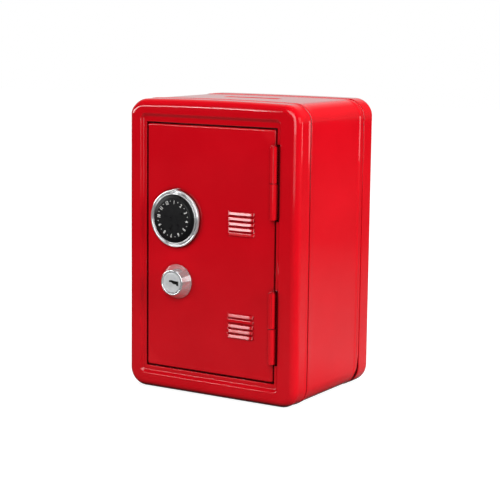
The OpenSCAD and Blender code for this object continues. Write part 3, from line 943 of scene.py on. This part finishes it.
def trim_ring():
    section = rounded([(14.8, 0.9), (14.06, 0.9), (14.06, 2.1), (14.72, 2.15), (14.8, 2.68),
                       (15.2, 2.68), (15.4, 2.3), (15.4, 0.9), (14.81, 0.9)], 0.2, 4)
    obj = lathe("dial_trim_turned", DIAL, section)
    tidy_mesh(obj)
    return dress(obj, "dial", ["dial_trim_ring"], SATIN)


def knob():
    section = [(0, KNOB_H), (11.3, KNOB_H)]
    section += rounded([(11.4, KNOB_H), (12.0, KNOB_H - 0.02), (12.4, KNOB_H - 0.4), (14.65, 3.0),
                        (14.65, 2.35), (14, 2.25), (14, 0.9), (12.6, 0.9), (12.6, 2.8), (5, 2.8),
                        (5, 0.9), (3, 0.9), (3, 2.8), (0.0, 2.8)], 0.3, 4)
    obj = lathe("dial_knob_moulded", DIAL, section, closed=False)
    tidy_mesh(obj)
    return dress(obj, "dial", ["dial_knob"], BLACK)


NUMBER_R = 10.1
NUMBER_SIZE = 2.992
NUMBER_TURN = 5.5
DOT_R = 10.8


def dial_numbers():
    """Numbers 1 to 12 with their tops outwards, and a dot between each two."""
    parts = []
    for n in range(12):
        turn = math.radians(-(NUMBER_TURN + 30 * n))
        curve = bpy.data.curves.new("figure", "FONT")
        curve.body = str(n + 1)
        curve.size = NUMBER_SIZE * MM
        curve.align_x = "CENTER"
        curve.align_y = "CENTER"
        curve.extrude = 0.03 * MM
        curve.bevel_depth = 0.012 * MM
        curve.offset = 0.035 * MM
        curve.resolution_u = 4
        curve.space_character = 0.9
        text = bpy.data.objects.new("figure", curve)
        bpy.context.scene.collection.objects.link(text)
        graph = bpy.context.evaluated_depsgraph_get()
        mesh = bpy.data.meshes.new_from_object(text.evaluated_get(graph))
        bpy.data.objects.remove(text)
        obj = bpy.data.objects.new("figure", mesh)
        bpy.context.scene.collection.objects.link(obj)
        place = Matrix.Translation(Vector((DIAL[0], DOOR_FACE - KNOB_H - 0.02, DIAL[1])) * MM)
        stand = Matrix.Rotation(math.radians(90), 4, "X")
        squeeze = Matrix.Diagonal((0.82, 1, 1, 1))
        obj.matrix_world = place @ Matrix.Rotation(-turn, 4, "Y") @ \
            Matrix.Translation(Vector((0, 0, NUMBER_R)) * MM) @ stand @ squeeze
        bpy.context.view_layer.update()
        parts.append(obj)
    for n in range(12):
        turn = math.radians(NUMBER_TURN + 30 * n + 15)
        cx = DIAL[0] + DOT_R * math.sin(turn)
        cz = DIAL[1] + DOT_R * math.cos(turn)
        section = [(0, KNOB_H + 0.05), (0.2, KNOB_H + 0.045), (0.25, KNOB_H), (0, KNOB_H - 0.03)]
        parts.append(lathe("dot", (cx, cz), section, 16, closed=False))
    obj = join("dial_numbers", parts)
    for polygon in obj.data.polygons:
        polygon.use_smooth = False
    obj.data.materials.clear()
    obj.data.materials.append(PRINT)
    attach(obj, "dial")
    return obj


LOCK_BODY_R = 8.2
LOCK_BORE_R = 5.65


def lock_housing():
    front = LOCK_H
    section = rounded([(6.25, 3.0), (6.25, front - 1.1), (6.75, front - 0.6),
                       (6.95, front - 0.12), (7.35, front), (7.75, front - 0.18),
                       (7.95, front - 0.6), (10.35, 0.45), (10.5, 0.22), (10.5, 0),
                       (LOCK_BODY_R, 0)], 0.3, 3)
    section += thread(LOCK_BODY_R, -SHEET - 0.1, -7.6)
    section += [(LOCK_BORE_R, -7.7), (LOCK_BORE_R, 3.0)]
    obj = lathe("lock_housing_turned", LOCK, section)
    tidy_mesh(obj)
    return dress(obj, "door", ["lock_housing"], CHROME)


def thread(radius, start, end):
    """Rounded thread of the lock body, as shallow rings."""
    section = [(radius, start)]
    pitch = 0.9
    turns = int((start - end) / pitch)
    for i in range(turns):
        top = start - i * pitch
        section += [(radius, top - 0.1), (radius - 0.32, top - 0.45), (radius, top - 0.8)]
    section.append((radius - 0.2, end))
    return section


def key_section(grow=0.0):
    """Outline of the keyway: a slot with a stepped lower edge, X across and Z up."""
    return [(-2.3 - grow, 1.3 + grow), (-0.2, 1.6 + grow), (2.0, 1.2 + grow),
            (4.7 + grow, 1.0 + grow), (4.7 + grow, -1.7 - grow), (3.2, -1.7 - grow),
            (2.8, -0.9 - grow), (1.9, -0.8 - grow), (1.5, -1.0 - grow), (0.4, -0.6 - grow),
            (-0.5, 0.15 - grow), (-2.3 - grow, 0.2 - grow)]


SQUARE = 6


def lock_plug():
    front = DOOR_FACE - plug_lo.y
    section = [(0, front), (1.2, front), (4.9, front), (5.0, front - 0.25), (5.3, front - 0.25),
               (5.4, front)]
    section += rounded([(5.5, front), (6.2, front), (6.2, front - 1.8), (5.6, front - 1.8)], 0.3, 3)
    section += [(5.6, -8.0), (0, -8.0)]
    obj = lathe("lock_plug_turned", LOCK, section, closed=False)
    tidy_mesh(obj)
    pin_mark = circle_points(-3.9, 0.2, 0.35, 20)
    cut(obj, [plug_bar("keyway", key_section(), -1, 10),
              plug_bar("pin_mark", pin_mark, -0.5, 0.35)])
    square = rounded_bar("square", LOCK[0] - SQUARE / 2, LOCK[0] + SQUARE / 2,
                         DOOR_FACE + 7.5, plug_hi.y,
                         LOCK[1] - SQUARE / 2, LOCK[1] + SQUARE / 2, 0.15)
    obj = join("lock_plug_turned", [obj, square])
    tidy_mesh(obj)
    # Painted shade: a near-black block just behind the plug's face fills the keyway, where there is
    # only shade
    painted_shade_block = plug_bar("keyway_painted_shade_block", key_section(-0.01), 0.25, 9)
    dress(painted_shade_block, "plug", [], KEYWAY_PAINTED_SHADE)
    return dress(obj, "plug", ["lock_plug"], PLUG)


def plug_bar(name, points, start, end):
    """Bar with an outline about the plug's axis, between two depths behind the plug's face."""
    count = len(points)
    verts = [(LOCK[0] + x, plug_lo.y + depth, LOCK[1] + z)
             for depth in (start, end) for x, z in points]
    faces = [tuple(range(count)), tuple(range(2 * count - 1, count - 1, -1))]
    faces += [(i, count + i, count + (i + 1) % count, (i + 1) % count) for i in range(count)]
    obj = make_object(name, verts, faces)
    tidy_mesh(obj)
    return obj


front_frame()
rear_cover()
body_wrap()
door_panel()
hinge_leaf("upper_door_hinge", "door", True)
hinge_leaf("lower_door_hinge", "door", True)
hinge_leaf("upper_frame_hinge", "case", False)
hinge_leaf("lower_frame_hinge", "case", False)
dial_ring()
trim_ring()
knob()
dial_numbers()
lock_housing()
lock_plug()

# The pins and the inner hardware keep their CAD shape and get their finish
FINISH = {
    "upper_hinge_pin": RED, "lower_hinge_pin": RED, "dial_spring_washer": ZINC,
    "lock_nut": ZINC, "dial_spindle": ZINC, "dial_cam": ZINC, "dial_screw": ZINC,
    "lock_wafers": BRASS, "wafer_springs": ZINC, "latch_cam": ZINC, "latch_washer": ZINC,
    "latch_screw": ZINC,
}
for node, material in FINISH.items():
    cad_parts[node].data.materials.clear()
    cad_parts[node].data.materials.append(material)

# ---------------------------------------------------------------- studio


FLOOR_SIZE = 6.0
FLOOR_Z = -0.02


def studio_floor():
    """Floor that is white to the camera. To other rays it is grey, and bright far behind."""
    steps = 12
    verts, faces = [], []
    side = FLOOR_SIZE / MM
    for i in range(steps + 1):
        for j in range(steps + 1):
            verts.append(((i / steps - 0.5) * side, (j / steps - 0.5) * side, FLOOR_Z))
    for i in range(steps):
        for j in range(steps):
            a = i * (steps + 1) + j
            faces.append((a, a + steps + 1, a + steps + 2, a + 1))
    floor = make_object("studio_floor", verts, faces)
    material, tree, surface = shader("pale_floor", 0, 0.9, 0.1)
    surface.inputs["Base Color"].default_value = (0.3, 0.3, 0.3, 1)
    dim = tree.nodes.new("ShaderNodeBsdfDiffuse")
    place = tree.nodes.new("ShaderNodeTexCoord")
    split = tree.nodes.new("ShaderNodeSeparateXYZ")
    tree.links.new(place.outputs["Object"], split.inputs[0])
    away = tree.nodes.new("ShaderNodeVectorMath")
    away.operation = "LENGTH"
    tree.links.new(place.outputs["Object"], away.inputs[0])
    amount = tree.nodes.new("ShaderNodeMath")
    amount.operation = "MULTIPLY"
    tree.links.new(spread(tree, split.outputs["Y"], 0.2, 0.55, 0, 0.1), amount.inputs[0])
    tree.links.new(spread(tree, away.outputs["Value"], 1, 0.2, 0.1, 0.7), amount.inputs[1])
    grey = blend_colour(tree, amount.outputs[0], (0, 0, 0), (0.55, 0.55, 0.55), 0, 1)
    tree.links.new(grey, dim.inputs["Color"])
    glow = tree.nodes.new("ShaderNodeEmission")
    near_shade = spread(tree, away.outputs["Value"], 0.86, 1, 0.12, 0.35)
    tree.links.new(near_shade, glow.inputs["Strength"])
    far = tree.nodes.new("ShaderNodeMath")
    far.operation = "MULTIPLY"
    tree.links.new(spread(tree, split.outputs["Y"], 0, 1.6, 0.45, 1.0), far.inputs[0])
    tree.links.new(spread(tree, split.outputs["X"], 1, 0, -0.2, 0.2), far.inputs[1])
    shine = tree.nodes.new("ShaderNodeEmission")
    tree.links.new(far.outputs[0], shine.inputs["Strength"])
    both = tree.nodes.new("ShaderNodeAddShader")
    tree.links.new(dim.outputs[0], both.inputs[0])
    tree.links.new(shine.outputs[0], both.inputs[1])
    add = tree.nodes.new("ShaderNodeAddShader")
    path = tree.nodes.new("ShaderNodeLightPath")
    pick = tree.nodes.new("ShaderNodeMixShader")
    output = tree.nodes["Material Output"]
    tree.links.new(surface.outputs[0], add.inputs[0])
    tree.links.new(glow.outputs[0], add.inputs[1])
    tree.links.new(path.outputs["Is Camera Ray"], pick.inputs[0])
    tree.links.new(both.outputs[0], pick.inputs[1])
    tree.links.new(add.outputs[0], pick.inputs[2])
    tree.links.new(pick.outputs[0], output.inputs["Surface"])
    floor.data.materials.append(material)


def softbox(name, azimuth, elevation, width, height, radiance, distance=1.6, mirrored=True):
    """Rectangular light that faces the middle of the object. Azimuth 0 is in front of the door.

    A diffused light that should leave no reflection of its own shape is not mirrored.
    """
    light = bpy.data.lights.new(name, "AREA")
    light.shape = "RECTANGLE"
    light.size = width
    light.size_y = height
    light.energy = radiance * width * height * math.pi
    obj = bpy.data.objects.new(name, light)
    bpy.context.scene.collection.objects.link(obj)
    a, e = math.radians(azimuth), math.radians(elevation)
    away = Vector((math.sin(a) * math.cos(e), -math.cos(a) * math.cos(e), math.sin(e)))
    obj.location = Vector((0, 0, TOP * MM / 2)) + away * distance
    obj.rotation_euler = away.to_track_quat("Z", "Y").to_euler()
    obj.visible_camera = False
    obj.visible_glossy = mirrored


def surroundings():
    """White studio behind the object and above it, dim in front of it."""
    world = bpy.data.worlds.new("studio")
    bpy.context.scene.world = world
    world.use_nodes = True
    tree = world.node_tree
    background = tree.nodes["Background"]
    background.inputs["Color"].default_value = (1, 1, 1, 1)
    place = tree.nodes.new("ShaderNodeTexCoord")
    split = tree.nodes.new("ShaderNodeSeparateXYZ")
    tree.links.new(place.outputs["Generated"], split.inputs[0])
    wall = tree.nodes.new("ShaderNodeMath")
    wall.operation = "MULTIPLY"
    tree.links.new(spread(tree, split.outputs["Y"], 0, 1, 0.0, 0.6), wall.inputs[0])
    tree.links.new(spread(tree, split.outputs["X"], 0.62, 0.12, -0.3, 0.05), wall.inputs[1])
    back = spread(tree, wall.outputs[0], 0.02, 1, 0, 1)
    path = tree.nodes.new("ShaderNodeLightPath")
    pick = tree.nodes.new("ShaderNodeMix")
    pick.data_type = "FLOAT"
    pick.inputs["B"].default_value = 1.0
    tree.links.new(path.outputs["Is Camera Ray"], pick.inputs["Factor"])
    tree.links.new(back, pick.inputs["A"])
    tree.links.new(pick.outputs["Result"], background.inputs["Strength"])


SENSOR = 36
LENS = 106.55


def camera():
    """Camera at the photo's angle, solved from the outline of the case."""
    azimuth, elevation, roll = (math.radians(v) for v in (31.617, 8.679, 0.672))
    distance, across, up_shift, aim_depth = 923.6, -0.494, -5.148, 46.9
    back = Vector((math.sin(azimuth) * math.cos(elevation),
                   -math.cos(azimuth) * math.cos(elevation), math.sin(elevation)))
    right = Vector((math.cos(azimuth), math.sin(azimuth), 0))
    up = back.cross(right)
    aim = Vector((0, FRONT + aim_depth, TOP / 2))
    place = back * distance + right * across + up * up_shift + aim
    turned_right = right * math.cos(roll) + up * math.sin(roll)
    turned_up = up * math.cos(roll) - right * math.sin(roll)
    data = bpy.data.cameras.new("camera")
    data.sensor_width = SENSOR
    data.lens = LENS
    data.clip_start = 0.01
    obj = bpy.data.objects.new("camera", data)
    bpy.context.scene.collection.objects.link(obj)
    turn = Matrix((turned_right, turned_up, back)).transposed()
    obj.matrix_world = Matrix.Translation(place * MM) @ turn.to_4x4()
    bpy.context.scene.camera = obj


studio_floor()
surroundings()
# Azimuth and elevation in degrees, width, height, radiance and distance
softbox("left_softbox", -54, 9, 1.2, 0.3, 8.5)
softbox("edge_softbox", -30.5, 13, 0.12, 0.46, 2.6)
softbox("low_edge_softbox", -31.2, 8, 0.13, 0.155, 12.0, 1.5)
softbox("key_softbox", 22, 17.7, 0.55, 0.76, 4.4, 1.155)
softbox("low_softbox", 22, -2.6, 0.55, 0.075, 1.2, 1.1)
softbox("high_softbox", 12, 45, 0.9, 0.7, 3.5, 1.5)
softbox("right_softbox", 92, 20, 1.0, 0.9, 10.3, mirrored=False)
softbox("top_softbox", 180, 75, 0.8, 0.8, 8.0, 1.5, mirrored=False)
softbox("side_reflector", 88, 17, 1.0, 0.9, 1.15)
softbox("standing_panel", 126, 1.8, 0.42, 0.27, 2.6)
camera()
bpy.context.scene.view_settings.view_transform = "Standard"
